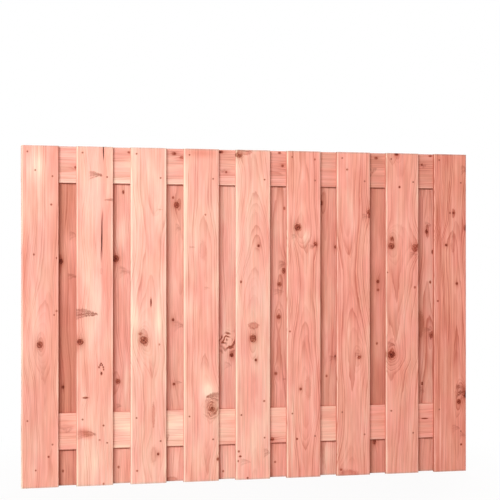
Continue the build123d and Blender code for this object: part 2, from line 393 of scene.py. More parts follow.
def hollow_depth(across, along, nails, splits):
    """How deep the face lies below the plank's flat: round dents at nails, sharp grooves at splits."""
    depth = np.zeros(np.shape(across))
    for nail_a, nail_l in nails:
        away = np.hypot(across - nail_a, along - nail_l)
        depth = np.maximum(depth, DENT_DEPTH * ease(away, DENT_RADIUS, NAIL_HEAD_RADIUS))
    for middle, height, half_width, half_length, lean in splits:
        share = (along - height) / half_length
        path = middle - lean * share / 2 + SPLIT_SWAY * np.sin(along / SPLIT_WAVE)
        opening = half_width * np.sqrt((1 - share ** 2).clip(0, 1)) + 1e-6
        groove = (1 - np.abs(across - path) / opening).clip(0, 1) * (abs(share) < 1)
        depth = np.maximum(depth, SPLIT_DEPTH * groove)
    return depth


print("a dent is", DENT_DEPTH, "mm deep and a split", SPLIT_DEPTH, "mm")

# %% [markdown]
# ## Growth rings and knots
# A plank is a slice of a log, and a log is a stack of cones, one for each year. The year that a point of wood grew
# in is its distance from the pith divided by the width of a ring, plus a little for its height in the tree. Where
# that number passes a whole value there is a dark line of late wood. Branches push the rings out round them, which
# is a bell-shaped bump in the same number. Kept on the vertices, it gives arches on the face, stripes on the edge
# and curved rings on the sawn end, all from one rule, where painted stripes would never meet at the corners.

# %% The year that each point grew in
BELL_MORE_ACROSS, BELL_MORE_ALONG = 2.0, 4.0
WANDER, WANDER_LENGTH = 7.0, 900.0  # how far the pith sways aside, and over what length
UNROUND, UNROUND_WIDTH, UNROUND_LENGTH = 1.6, 160.0, 620.0  # how far a ring leaves its circle
BRANCH_FROM = 6.0  # knots from this half width on push the rings aside
BULGE_WIDE, BULGE_TALL, BULGE_MORE = 1.8, 3.4, 8.0
PUSH_SHARE, PUSH_MOST = 4.0, 2.6
GOOD_YEARS = ((0.22, 1.9, 1), (0.14, 0.7, 2))  # wide rings come in turns: how much, how often, from where


def bells(vertices, spots, wide=1.0, tall=1.0):
    """Bell-shaped bumps at spots of (across, along, half width, half height, strength), added up. A bump is wide
    times its spot's half width and tall times its half height, and a little more."""
    across, _, along = vertices.T
    total = np.zeros(len(vertices))
    for spot_a, spot_l, half_a, half_l, strength in spots:
        aside = (across - spot_a) / (wide * half_a + BELL_MORE_ACROSS)
        above = (along - spot_l) / (tall * half_l + BELL_MORE_ALONG)
        total += strength * np.exp(-(aside ** 2 + above ** 2))
    return total


def waves(along, turns):
    """A smooth line through the turning points (place, value), level at each of them."""
    total = np.full(np.shape(along), float(turns[0][1]))
    for (start, before), (stop, after) in zip(turns, turns[1:]):
        total += (after - before) * ease(along, start, stop)
    return total


def years(vertices, look, thickness, seed):
    """Ring number at each vertex: distance from the pith over ring width, plus the rise there, bent by knots."""
    across, through, along = vertices.T
    wander = WANDER * ripple(0 * along, along, seed, 1.0, WANDER_LENGTH, 3)
    sideways = across - waves(along, look["path"]) - wander
    behind = look["behind"] - (through + thickness / 2)
    radius = np.hypot(sideways, behind)
    radius = radius + UNROUND * ripple(across, along, seed + 1, UNROUND_WIDTH, UNROUND_LENGTH)
    year = (radius - look["behind"]) / look["ring"] + waves(along, look["rise"])
    bulges = [(spot_a, spot_l, BULGE_WIDE * half_a, BULGE_TALL * half_l + BULGE_MORE,
               min(half_a / PUSH_SHARE, PUSH_MOST))
              for spot_a, spot_l, half_a, half_l, _ in look["knots"] if half_a >= BRANCH_FROM]
    year = year - bells(vertices, bulges + look["swells"])
    return year + sum(much * np.sin(often * year + begin * seed) for much, often, begin in GOOD_YEARS)


def nearest_mark(vertices, faces, marks):
    """For each corner of each face: how far it is from the mark nearest to that face, in half widths and half
    heights of the mark, and that mark's strength and kind. Kept by corner, it draws the mark exactly, however
    coarse the grid is."""
    marks = np.array(marks, float)
    corners = vertices[:, [0, 2]][faces]
    middles = corners.mean(axis=1)
    apart = (middles[:, None] - marks[None, :, :2]) / marks[None, :, 2:4]
    chosen = np.repeat(marks[np.argmin((apart ** 2).sum(axis=-1), axis=1)], 4, axis=0)
    place = (corners.reshape(-1, 2) - chosen[:, :2]) / chosen[:, 2:4]
    return np.column_stack([place, chosen[:, 4]]), chosen[:, 5:]


face = np.array([(across, -board["thickness"] / 2, board["length"] / 2) for across in (-60.0, 0.0, 60.0)])
print("rings half-way up the first board:", np.round(years(face, LOOKS["front_board_1"], board["thickness"], 1), 1))

# %% [markdown]
# ## A small kit for materials
# Colours are picked as the sRGB hex values of a colour chooser, and Blender calculates in linear light, so one
# function turns one into the other. Another adds a node with its settings and links, which keeps the finishes below
# short enough to read as recipes. Inputs come in the node's own order, so a map range reads as its value, then from
# where to where it comes, then from where to where it goes. Each material hands out that function, tied to its own
# nodes, under the name add.

# %% Colours and nodes
WHITE = (1.0, 1.0, 1.0, 1.0)


def colour(hex_value):
    """sRGB hex to linear light with an alpha of 1."""
    share = np.array([int(hex_value[i:i + 2], 16) for i in (1, 3, 5)]) / 255
    linear = np.where(share <= 0.04045, share / 12.92, ((share + 0.055) / 1.055) ** 2.4)
    return (*linear, 1.0)


def fill(node, inputs):
    """Fills a node's inputs with numbers, colours, outputs, or other nodes, each of which stands for its first
    output in use."""
    for key, value in inputs.items():
        if isinstance(value, bpy.types.Node):
            value = next(output for output in value.outputs if output.enabled)
        if isinstance(value, bpy.types.NodeSocket):
            node.id_data.links.new(value, node.inputs[key])
        else:
            node.inputs[key].default_value = value


def add_node(tree, kind, *inputs, named=None, stops=(), **settings):
    """Adds a node of a kind, which for mathematics also says the operation, sets its properties and fills its inputs,
    in their order or by name. Stops are the places and colours of a ramp, where a single number is a grey."""
    kind, *operation = kind.split()
    node = tree.nodes.new("ShaderNode" + kind)
    if operation:
        node.operation = operation[0]
    for name, value in settings.items():
        setattr(node, name, value)
    fill(node, {**dict(enumerate(inputs)), **(named or {})})
    for number, (place, value) in enumerate(stops):
        elements = node.color_ramp.elements
        element = elements[number] if number < 2 else elements.new(place)
        element.position = place
        element.color = value if isinstance(value, tuple) else (value, value, value, 1.0)
    return node


def new_material(name):
    """An empty node material, the function that adds its nodes, and its shader."""
    material = bpy.data.materials.new(name)
    material.use_nodes = True
    material.node_tree.nodes.clear()
    add = functools.partial(add_node, material.node_tree)
    shader = add("BsdfPrincipled")
    add("OutputMaterial", shader)
    return material, add, shader


print("a middle grey of #808080 is", round(colour("#808080")[0], 3), "in linear light")

# %% [markdown]
# ## Late wood
# Fresh larch is a pinkish, resinous softwood. Each ring fades from pale early wood to a redder, harder line of late
# wood and then stops sharply, and no two rings are equally strong. The ring number comes from the vertices, and
# noise stretched along the grain, sized in millimetres, keeps the lines from being even.

# %% Rings and tongues of late wood
WOBBLE = (22.0, 80.0, 2.0)  # width, length and detail, as for each grain noise below
SHAKEN, SHAKEN_AT_KNOTS, SHAKEN_BY_STREAKS = 0.6, 1.2, 0.4  # in rings
BOLDER_AT_KNOTS = 1.5
LATE_STOPS = [(0.0, 0.0), (1.0, 0.0), (0.3, 0.12), (0.62, 0.5), (0.85, 1.0), (0.93, 0.95)]
TONGUE_STOPS = [(0.0, 0.5), (1.0, 0.0), (0.55, 0.55), (0.86, 1.0), (0.92, 0.9)]
TONGUE_SWAY = 0.7


def grain_noise(add, grain, width, length, detail):
    """Noise as wide and as long as said, in millimetres, along the grain of the plank."""
    scale = (1 / (width * MM), 1 / (width * MM), 1 / (length * MM))
    stretched = add("VectorMath MULTIPLY", grain, scale)
    return add("TexNoise", stretched, named={"Scale": 1.0, "Detail": detail, "Roughness": 0.55})


def growth_rings(add, kept, streak, blotch):
    """How far a point is into the late wood of its ring, from 0 to 1. Some rings are stronger than others, all fade
    and return along their way, and near a knot the lines are darker and less even."""
    wobble = grain_noise(add, kept["grain"], *WOBBLE)
    sway = add("Math MULTIPLY_ADD", kept["halo"], SHAKEN_AT_KNOTS, SHAKEN)
    shaken = add("Math MULTIPLY_ADD", wobble, sway, kept["year"])
    year = add("Math MULTIPLY_ADD", streak, SHAKEN_BY_STREAKS, shaken)
    within = add("Math FRACT", year)
    number = add("Math FLOOR", year)
    late = add("ValToRGB", within, stops=LATE_STOPS)
    chance = add("TexWhiteNoise", named={"W": number}, noise_dimensions="1D")
    uneven = add("Math POWER", chance, 1.7)
    strength = add("MapRange", uneven, 0, 1, 0.2, 1.1)
    coming = add("MapRange", blotch, 0.3, 0.7, 0.55, 1.35)
    varied = add("Math MULTIPLY", strength, coming)
    chosen = add("Math MULTIPLY", varied, kept["bold"])
    boost = add("Math MULTIPLY_ADD", kept["halo"], BOLDER_AT_KNOTS, chosen)
    lines = add("Math MULTIPLY", late, boost)
    return add("Math ADD", lines, tongue_of_wood(add, kept["tongue"], wobble), use_clamp=True)


def tongue_of_wood(add, tongue, wobble):
    """How much late wood there is in a tongue: none outside it, most along its border, and less and less away from
    its tip. The tongue is as wide as the distance from the tip to the power of three quarters."""
    across, along, strength = add("SeparateXYZ", tongue).outputs
    from_tip = add("MapRange", along, -1, 1, 0.001, 1)
    wide = add("Math POWER", from_tip, 0.75)
    swayed = add("Math MULTIPLY_ADD", wobble, TONGUE_SWAY, across)
    middle = add("Math SUBTRACT", swayed, TONGUE_SWAY / 2)
    apart = add("Math ABSOLUTE", middle)
    aside = add("Math DIVIDE", apart, wide)
    border = add("ValToRGB", aside, stops=TONGUE_STOPS)
    fading = add("MapRange", from_tip, 1, 0.25)
    shape = add("Math MULTIPLY", border, fading)
    return add("Math MULTIPLY", shape, strength)


print("the rings are shaken by noise", WOBBLE[0], "mm wide and", WOBBLE[1], "mm long")

# %% [markdown]
# ## Knots, spikes and swirls
# A knot is a branch cut across, and it is drawn from its own little coordinates: a dark heart, brown rings and a rim
# that is dark with resin. Cut lengthways, the same branch is a spike, drawn as a fan of strokes. Round some branches
# the wood has grown in arcs. All of these are tints, so the wood below shows through them.

# %% Fans of strokes and swirls
RAGGED = (5.0, 7.0, 3.0)
OWN_PATTERN = 47.0  # carries marks of different strength to different places in the noise
FAN_TIP, FAN_RAGGED, FAN_BOW, FAN_MIDDLE = 1.4, 0.7, 0.2, 0.42
FAN_STROKES = (7.0, 0.5, 1.0)
FAN_STOPS = [(0.02, 0.0), (0.94, 0.0), (0.16, 0.5), (0.6, 0.8), (0.86, 1.0)]
STROKE_TINT = (0.34, 0.16, 0.11, 1.0)
SWIRL_RINGS = {"Scale": 1.2, "Distortion": 10.0, "Detail": 3.0, "Detail Scale": 1.5}
SWIRL_STOPS = [(0.1, (0.42, 0.21, 0.16, 1)), (0.9, (1.02, 1.0, 0.99, 1)), (0.45, (0.82, 0.63, 0.57, 1))]


def fan_of_strokes(add, mark, uneven):
    """Dark strokes inside a wedge that is widest at the left of the mark and closes to a tip at its right. The
    slope of a stroke is its height over its distance from the tip, so noise drawn over the slope converges there.
    The wedge is a little bowed, and a ragged noise keeps its sides from being straight."""
    across, along, strength = mark
    ahead = add("Math SUBTRACT", FAN_TIP, across)
    ragged = add("Math MULTIPLY_ADD", uneven, FAN_RAGGED, along)
    squared = add("Math MULTIPLY", across, across)
    bowed = add("Math MULTIPLY_ADD", squared, FAN_BOW, ragged)
    height = add("Math SUBTRACT", bowed, FAN_MIDDLE)
    slope = add("Math DIVIDE", height, ahead)
    own = add("Math MULTIPLY", strength, OWN_PATTERN)
    fan = add("CombineXYZ", slope, across, own)
    lines = add("VectorMath MULTIPLY", fan, FAN_STROKES)
    noise = add("TexNoise", lines, named={"Scale": 1.0, "Detail": 2.0, "Roughness": 0.5})
    steep = add("Math ABSOLUTE", slope)
    inside = add("MapRange", steep, 0.48, 0.3, interpolation_type="SMOOTHSTEP")
    to_tip = add("Math MULTIPLY_ADD", across, 0.4, 0.5)
    body = add("ValToRGB", to_tip, stops=FAN_STOPS)
    drawn = add("MapRange", noise, 0.38, 0.6, 0.3, 1, interpolation_type="SMOOTHSTEP")
    shape = add("Math MULTIPLY", inside, body)
    share = add("Math MULTIPLY", drawn, shape, use_clamp=True)
    return add("Mix", named={"Factor": share, "A": WHITE, "B": STROKE_TINT}, data_type="RGBA")


def swirl_of_wood(add, swirl):
    """How wood is tinted that grew round and round a branch: uneven dark and pale arcs, which come and go on their
    way round and fade out at the mark's edge."""
    across, along, strength = add("SeparateXYZ", swirl).outputs
    flat = add("CombineXYZ", across, along)
    away = add("VectorMath LENGTH", flat)
    own = add("Math MULTIPLY", strength, OWN_PATTERN)
    deeper = add("CombineXYZ", across, along, own)
    rings = add("TexWave", flat, named=SWIRL_RINGS, wave_type="RINGS", rings_direction="SPHERICAL")
    gaps = add("TexNoise", deeper, named={"Scale": 1.5, "Detail": 1.0})
    drawn = add("ValToRGB", rings, stops=SWIRL_STOPS)
    near = add("MapRange", away, 1.1, 0.4)
    there = add("MapRange", gaps, 0.4, 0.55)
    shown = add("Math MULTIPLY", near, there)
    ringed = add("Mix", named={"Factor": shown, "A": WHITE, "B": drawn}, data_type="RGBA")
    return add("Gamma", ringed, strength)


print("spikes keep", STROKE_TINT[:3], "of the light that the wood gives back")

# %% Knots and all that lies in the wood
KNOT_STOPS = [
    (0.0, (0.14, 0.03, 0.02, 1)), (0.8, WHITE), (0.1, (0.22, 0.07, 0.05, 1)), (0.2, (0.58, 0.34, 0.26, 1)),
    (0.3, (0.3, 0.11, 0.08, 1)), (0.38, (0.6, 0.36, 0.28, 1)), (0.47, (0.24, 0.08, 0.06, 1)),
    (0.55, (0.85, 0.7, 0.64, 1)), (0.62, (1.04, 1.03, 1.02, 1)), (0.7, (0.85, 0.72, 0.66, 1))]
STAIN_STOPS = [(0.2, (0.76, 0.58, 0.54, 1)), (0.62, WHITE), (0.44, (0.63, 0.42, 0.38, 1))]
SPLIT_STOPS = [(0.6, (0.1, 0.03, 0.02, 1)), (1.0, WHITE)]
SAME_KIND = 0.4


def knot_tint(add, kept):
    """What lies in the wood and how it tints it. A knot is drawn as rings, a spike as a fan of strokes, a
    stain as one soft tint and a split as a dark line. Only the kind that the mesh names is drawn."""
    mark = add("SeparateXYZ", kept["mark"]).outputs
    flat = add("CombineXYZ", mark[0], mark[1])
    away = add("VectorMath LENGTH", flat)
    uneven = grain_noise(add, kept["grain"], *RAGGED)
    shift = add("MapRange", uneven, 0, 1, -0.25, 0.25)
    half_away = add("Math MULTIPLY_ADD", away, 0.5, shift)
    plain = add("ValToRGB", half_away, stops=KNOT_STOPS)
    patchy = add("MapRange", uneven, 0.35, 0.65, 0.45, 1.6)
    rings = add("Gamma", plain, patchy)
    strokes = fan_of_strokes(add, mark, uneven)
    stain = add("ValToRGB", half_away, stops=STAIN_STOPS)
    split = add("ValToRGB", away, stops=SPLIT_STOPS)

    tint = WHITE
    for number, look in enumerate((rings, strokes, stain, split)):
        chosen = add("Math COMPARE", kept["mark_kind"], number, SAME_KIND)
        share = add("Math MULTIPLY", mark[2], chosen)
        shade = add("Gamma", look, share)
        tint = add("Mix", named={"Factor": 1.0, "A": tint, "B": shade}, data_type="RGBA", blend_type="MULTIPLY")
    return tint


print("a knot is drawn with", len(KNOT_STOPS), "steps from its heart to its rim")

# %% [markdown]
# ## Planed faces
# Planed and left bare, larch is nearly matt. Fine fibres, wide streaks and soft blotches are noise along the grain
# again. Every layer tints the one below it, as resin and light do.

# %% Planed larch
FIBRE = (3.2, 150.0, 3.0)  # coarser than real fibres, so that they show in a picture of the whole panel
STREAK = (8.0, 480.0, 2.0)
BLOTCH = (34.0, 190.0, 2.0)
PATCH = (60.0, 160.0, 1.0)
KEPT = {"grain": "Vector", "year": "Fac", "bold": "Fac", "tone": "Fac", "faded": "Fac", "halo": "Fac",
        "mark": "Vector", "mark_kind": "Fac", "tongue": "Vector", "swirl": "Vector"}
EARLY_STOPS = [(0.0, colour("#F1D2BC")), (1.0, colour("#CA7F6A")), (0.2, colour("#EBBEAB")),
               (0.45, colour("#E7A796")), (0.75, colour("#DC9380"))]
HUE_STOPS = [(0.35, (1.0, 0.95, 0.97, 1)), (0.65, (0.985, 1.04, 1.01, 1))]
LATE_TINT = (0.72, 0.54, 0.49, 1.0)
RESIN_TINT = (0.72, 0.52, 0.46, 1.0)
FADED_TINT = (0.8, 0.97, 1.0, 1.0)


def planed_larch():
    """Planed larch, left bare: pale to pink early wood, tinted by late wood, knots and fibres, and nearly matt."""
    material, add, shader = new_material("planed_larch")
    kept = {name: add("Attribute", attribute_name=name).outputs[output] for name, output in KEPT.items()}
    fibre, streak, blotch, patch = (grain_noise(add, kept["grain"], *size) for size in (FIBRE, STREAK, BLOTCH, PATCH))
    late = growth_rings(add, kept, streak, blotch)

    calm = add("MapRange", blotch, 0, 1, 0.17, 0.83)
    level = add("Math ADD", calm, kept["tone"])
    striped = add("MapRange", streak, 0.3, 0.7, -0.11, 0.11)
    redness = add("Math MULTIPLY_ADD", striped, kept["bold"], level)
    wood = add("ValToRGB", redness, stops=EARLY_STOPS)
    hue = add("ValToRGB", patch, stops=HUE_STOPS)
    flecks = add("MapRange", fibre, 0.25, 0.75, 0.86, 1.1)
    layers = [(1.0, hue), (late, LATE_TINT), (1.0, flecks), (kept["halo"], RESIN_TINT), (1.0, knot_tint(add, kept)),
              (1.0, swirl_of_wood(add, kept["swirl"])), (kept["faded"], FADED_TINT)]
    for share, tint in layers:
        wood = add("Mix", named={"Factor": share, "A": wood, "B": tint}, data_type="RGBA", blend_type="MULTIPLY")

    rough = add("MapRange", fibre, 0.2, 0.8, 0.6, 0.78)
    relief = add("Math MULTIPLY_ADD", late, 0.5, fibre)
    bump = add("Bump", named={"Height": relief, "Strength": 0.35, "Distance": 0.3 * MM})
    fill(shader, {"Base Color": wood, "Roughness": rough, "Specular IOR Level": 0.2, "Normal": bump})
    return material


faces_finish = planed_larch()
print("finish:", faces_finish.name, "with", len(faces_finish.node_tree.nodes), "nodes")

# %% [markdown]
# ## Sawn ends
# The ends were crosscut with a circular saw and never planed. End grain drinks the light, so it is darker and
# rougher than the faces, and the same ring numbers draw the year rings on it as arcs round the pith.

# %% Sawn larch
SAW_MARKS = (1.2, 40.0, 2.0)
SAWN_STOPS = [(0.0, colour("#E3A98C")), (1.0, colour("#E3A98C")), (0.5, colour("#DB9A80")), (0.88, colour("#A8614A"))]


def sawn_larch():
    """Crosscut larch: rings as arcs, darker and rougher than a planed face, with fine marks of the saw."""
    material, add, shader = new_material("sawn_larch_end_grain")
    kept = {name: add("Attribute", attribute_name=name).outputs[KEPT[name]] for name in ("grain", "year")}
    within = add("Math FRACT", kept["year"])
    rings = add("ValToRGB", within, stops=SAWN_STOPS)
    saw = grain_noise(add, kept["grain"], *SAW_MARKS)
    marks = add("MapRange", saw, 0.3, 0.7, 0.82, 1.05)
    sawn = add("Mix", named={"Factor": 1.0, "A": rings, "B": marks}, data_type="RGBA", blend_type="MULTIPLY")
    bump = add("Bump", named={"Height": saw, "Strength": 0.6, "Distance": 0.4 * MM})
    fill(shader, {"Base Color": sawn, "Roughness": 0.85, "Specular IOR Level": 0.2, "Normal": bump})
    return material


ends_finish = sawn_larch()
print("finish:", ends_finish.name, "with", len(ends_finish.node_tree.nodes), "nodes")

# %% [markdown]
# ## Making the planks
# Everything is ready, so one loop makes each plank: columns and rows, the closed grid, dents on the nailed side,
# and then the numbers that the finish reads: the year, the place along the grain, the redness and the marks. The
# eased edges are paler, with a painted highlight added on the left edges where the light comes from, and the
# narrow sides get painted shade. The strip of a back board where the front board beside it casts its shadow is
# painted redder as shade and left unfaded. The back boards and the top rail are a little greyed by the weather,
# and the faces turn greyer within a few millimetres of each end.

# %% Meshes and what they keep
def mesh_piece(name, vertices, faces):
    """A mesh object at the origin from vertices in metres and faces with one count of corners, without a loop over
    them."""
    mesh = bpy.data.meshes.new(name)
    mesh.vertices.add(len(vertices))
    mesh.vertices.foreach_set("co", np.ascontiguousarray(vertices, np.float32).ravel())
    mesh.loops.add(faces.size)
    mesh.loops.foreach_set("vertex_index", np.ascontiguousarray(faces, np.int32).ravel())
    mesh.polygons.add(len(faces))
    mesh.polygons.foreach_set("loop_start", np.arange(0, faces.size, faces.shape[1], dtype=np.int32))
    mesh.update(calc_edges=True)
    mesh.validate()
    piece = bpy.data.objects.new(name, mesh)
    bpy.context.scene.collection.objects.link(piece)
    return piece


def keep(mesh, name, domain, values):
    """Keeps an array on the mesh under a name: a number or a vector of three for each point or corner."""
    values = np.ascontiguousarray(values, np.float32)
    kind, field = ("FLOAT_VECTOR", "vector") if values.size == 3 * len(values) else ("FLOAT", "value")
    mesh.attributes.new(name, kind, domain).data.foreach_set(field, values.ravel())


print("numbers kept on each plank:", ", ".join(KEPT))

# %% Marks, redness and fading of one plank
NAIL_STAIN = (3.6, 3.6, 0.3)
SMALL_KNOT, SMALL_DEPTH = 6.0, 1.35  # knots below this half width are darker
# Paler eased edges; the extra on a board's left edge is a painted highlight, where the light comes from
EDGE_PALING_AND_HIGHLIGHT, RAIL_EDGE_PALING = (0.48, 0.2), 0.12  # on the left and right edges of a board, and on those of a rail
EDGE_PALING_FROM, EDGE_PALING_TO = -4.0, 1.0  # counted outwards from where the easing starts
# Painted shade on a plank's narrow side faces: how wide the band is and how much redder it is
SHADED_SIDE_BAND, SIDE_SHADE_DEPTH = 0.5, 0.6
FADED = {"front": 0.0, "back": 0.36, "top": 0.4, "bottom": 0.0}
FADED_FROM = (200.0, 320.0)
# Faces turn greyer within a few millimetres of each end
END_GREYING, END_GREYING_REACH = 1.4, 8.0
# Painted shade: the strip across a back board where the front board beside it casts its shadow, and how much redder
# that strip is painted
SHADOW_STRIP, SHADOW_STRIP_RED = (-6.0, -36.0), 0.2
HALO_FROM, HALO_WIDE, HALO_TALL, HALO_SHARE = 4.0, 1.6, 2.4, 0.6
SWELL_PER_HALO = 3.0


def plank_marks(look, nails):
    """Stains round the nails and all that lies in the wood, each with its place, half sizes, strength and kind."""
    marks = [(*spot, *NAIL_STAIN, 0) for spot in nails]
    for kind, group in enumerate(INSIDE):
        for *place, strength in look[group]:
            if group == "splits":
                strength = 1.0
            if group == "knots" and place[2] < SMALL_KNOT:
                strength *= SMALL_DEPTH
            marks.append((*place, strength, kind))
    return marks


def wood_colour(name, vertices):
    """How red and how faded each vertex is, and how close to a knot. Redness is the plank's tone plus its patches,
    less on the eased edges, which are paler wood with a painted highlight added on a board's left where the light
    comes from, and more on the narrow sides as painted shade. The strip of a back board where the next front board
    casts its shadow is painted redder as shade, and as wood kept from the sun it does not fade."""
    size, look = sizes[name], LOOKS[name]
    is_rail = name.endswith("_rail")
    across, _, along = vertices.T
    half_width = size["width"] / 2
    easing = half_width - EDGE_RADIUS
    # Paler eased edges with a painted highlight on top, stronger on a board's left edge where the light comes from
    eased = ease(np.abs(across), easing + EDGE_PALING_FROM, easing + EDGE_PALING_TO)
    paling_and_highlight = (RAIL_EDGE_PALING if is_rail else np.where(across < 0, *EDGE_PALING_AND_HIGHLIGHT)) * eased
    # Painted shade on the narrow side faces
    side = np.abs(across) > half_width - SHADED_SIDE_BAND
    # Painted shade where the front board's shadow falls on a back board; as wood kept from the sun, that strip also
    # does not fade
    shadow_strip = ease(across, *SHADOW_STRIP) * name.startswith("back")
    tone = look["tone"] + bells(vertices, look["patches"]) - paling_and_highlight + SIDE_SHADE_DEPTH * side
    tone += SHADOW_STRIP_RED * shadow_strip

    faded = FADED[name.split("_")[0]] * (1.0 if is_rail else ease(along, *FADED_FROM))
    faded = faded * (1 - shadow_strip) + bells(vertices, look["fades"])
    from_end = np.minimum(along, size["length"] - along)
    # Greyer towards each end
    faded = np.maximum(faded, END_GREYING * ease(from_end, END_GREYING_REACH, 0.0))

    halo = bells(vertices, [knot for knot in look["knots"] if min(knot[2:4]) > HALO_FROM], HALO_WIDE, HALO_TALL)
    halo += bells(vertices, look["swells"]) / SWELL_PER_HALO
    return {"tone": tone, "faded": faded, "halo": HALO_SHARE * halo.clip(0, 1)}


print("marks on the first board:", len(plank_marks(LOOKS["front_board_1"], nail_spots)))

# %% All boards and rails
NAIL_ROOM = (6.0, 1.2)  # reach and spacing of the closer rows and columns
SPLIT_ROOM = (7.0, 0.8)
UNEVEN, UNEVEN_WIDTH, UNEVEN_LENGTH = 0.12, 300.0, 420.0  # a planed face is never quite flat
GRAIN_SPREAD = 40.0  # so that no two planks share a place in the noise
PLANK_CREASE = math.radians(40)
FAR_AWAY = (-9000, 0, 1, 1, 0)
TOUCHING = 0.01


def dressed_plank(name, seed):
    """One board or rail, as its own closed mesh with its wood figure kept on it."""
    size, look = sizes[name], LOOKS[name]
    is_rail = name.endswith("_rail")
    nails = [] if is_rail else nail_spots
    splits = look["splits"]
    flat_half = size["width"] / 2 - EDGE_RADIUS
    columns = spread(-flat_half, flat_half, COLUMN_STEP, sorted({spot[0] for spot in nails}), *NAIL_ROOM)
    if splits:
        closer = spread(-flat_half, flat_half, COLUMN_STEP, [split[0] for split in splits], *SPLIT_ROOM)
        columns = np.union1d(columns, closer)
    rows = spread(0, size["length"], ROW_STEP, [spot[1] for spot in nails], *NAIL_ROOM)
    across, half = plank_section(size["width"], size["thickness"], columns)
    vertices, faces, is_end = plank_grid(across, half, rows)

    side = -1 if name.startswith("front") or is_rail else 1
    across, through, along = vertices.T
    on_face = np.abs(np.abs(through) - size["thickness"] / 2) < TOUCHING
    nailed = on_face & (np.sign(through) == side)
    sunk = hollow_depth(across, along, nails, splits)
    wavy = UNEVEN * (1 + ripple(across, along, seed + 5, UNEVEN_WIDTH, UNEVEN_LENGTH)).clip(0, 2) / 2
    shaped = vertices.copy()
    shaped[:, 1] -= side * nailed * sunk + np.sign(through) * on_face * wavy
    piece = mesh_piece("larch_" + name, (shaped @ size["turn"] + size["start"]) * MM, faces)

    shift = np.random.default_rng(seed).uniform(0, GRAIN_SPREAD, 3)
    on_points = {"year": years(vertices, look, size["thickness"], seed), "grain": vertices * MM + shift,
                 "bold": np.full(len(vertices), look["bold"]), **wood_colour(name, vertices)}
    mark, mark_kind = nearest_mark(vertices, faces, plank_marks(look, nails))
    on_corners = {"mark": mark, "mark_kind": mark_kind}
    for single in ("tongue", "swirl"):
        on_corners[single], _ = nearest_mark(vertices, faces, look[single + "s"] or [FAR_AWAY])
    for domain, numbers in (("POINT", on_points), ("CORNER", on_corners)):
        for label, values in numbers.items():
            keep(piece.data, label, domain, values)

    piece.data.materials.append(faces_finish)
    piece.data.materials.append(ends_finish)
    piece.data.polygons.foreach_set("material_index", is_end.astype(np.int32))
    piece.data.set_sharp_from_angle(angle=PLANK_CREASE)
    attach(piece, "root")
    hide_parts(name)
    return piece


pieces = [dressed_plank(name, 11 * number + 3) for number, name in enumerate(planks)]
print("planks:", len(pieces), "faces:", sum(len(piece.data.polygons) for piece in pieces))

# %% [markdown]
# ## Nails
# The nails are plain wire nails, left a little brown by the wet wood. A nail is a shape of turning: one outline
# carried round its axis, as on a lathe. A cylinder would do for so small a thing, but a real head has a rounded rim
# that catches the light. Only the heads show, and the whole nail is made.

# %% Turned nails
NAIL_AROUND = 16
SHANK_RADIUS = 1.3
NAIL_CREASE = math.radians(50)
BLOT_SIZE = 1.8


def nail_outline(length):
    """Outline from the middle of the head to the point, as radius and depth in millimetres."""
    head, shank = NAIL_HEAD_RADIUS, SHANK_RADIUS
    return np.array([
        (0.0, 0.0), (0.6 * head, 0.02), (0.88 * head, 0.08), (head, 0.32), (head, 0.75), (0.9 * head, 0.98),
        (1.25 * shank, 1.05), (shank, 1.6), (shank, length - 4.0), (0.55 * shank, length - 1.7), (0.0, length),
    ])


def turned(outline, around):
    """Each point of the outline becomes a circle of its radius at its depth. Neighbouring circles are joined by
    triangles, and the first and last points are poles that all the triangles there share."""
    radius, depth = outline[1:-1].T
    angle = np.arange(around) * 2 * math.pi / around
    flat = np.repeat(depth[:, None], around, axis=1)
    circles = np.stack([np.outer(radius, np.cos(angle)), np.outer(radius, np.sin(angle)), flat], axis=-1)
    poles = [[0, 0, outline[0, 1]], [0, 0, outline[-1, 1]]]
    here = np.arange(around)
    after = np.roll(here, -1)
    head, point, last = circles[..., 0].size, circles[..., 0].size + 1, (len(radius) - 1) * around
    band = np.arange(len(radius) - 1)[:, None] * around
    fans = [np.stack([band + here, band + after, band + after + around], axis=-1).reshape(-1, 3),
            np.stack([band + here, band + after + around, band + here + around], axis=-1).reshape(-1, 3),
            np.stack([np.full(around, head), after, here], axis=-1),
            np.stack([np.full(around, point), last + here, last + after], axis=-1)]
    return np.concatenate([circles.reshape(-1, 3), poles]), np.concatenate(fans)


def nail_group(name, finish):
    """All the nails of one row of boards in one rail, set into the boards' faces."""
    low, high = in_mm(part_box(name))
    row, _, rail = name.split("_")
    rail_low, rail_high = rail_boxes[0 if rail == "top" else 1]
    outline = nail_outline(high[1] - low[1])
    vertices, faces = turned(outline, NAIL_AROUND)
    boards = [sizes[plank]["start"][0] for plank in planks if plank.startswith(row + "_board")]
    spots = [spot for spot in nail_spots if rail_low[2] < spot[1] < rail_high[2]]
    heads = np.array([(x + aside, height) for x in sorted(boards) for aside, height in spots])
    u, v, depth = vertices.T
    x = heads[:, :1] + u
    if row == "front":
        y, z = low[1] + depth, heads[:, 1:] - v
    else:
        y, z = high[1] - depth, heads[:, 1:] + v
    placed = np.stack([x, np.broadcast_to(y, x.shape), z], axis=-1).reshape(-1, 3) * MM
    every = (faces[None] + len(vertices) * np.arange(len(heads))[:, None, None]).reshape(-1, 3)
    piece = mesh_piece("wire_nails_" + name, placed, every)
    piece.data.materials.append(finish)
    piece.data.set_sharp_from_angle(angle=NAIL_CREASE)
    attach(piece, "root")
    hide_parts(name)
    return piece


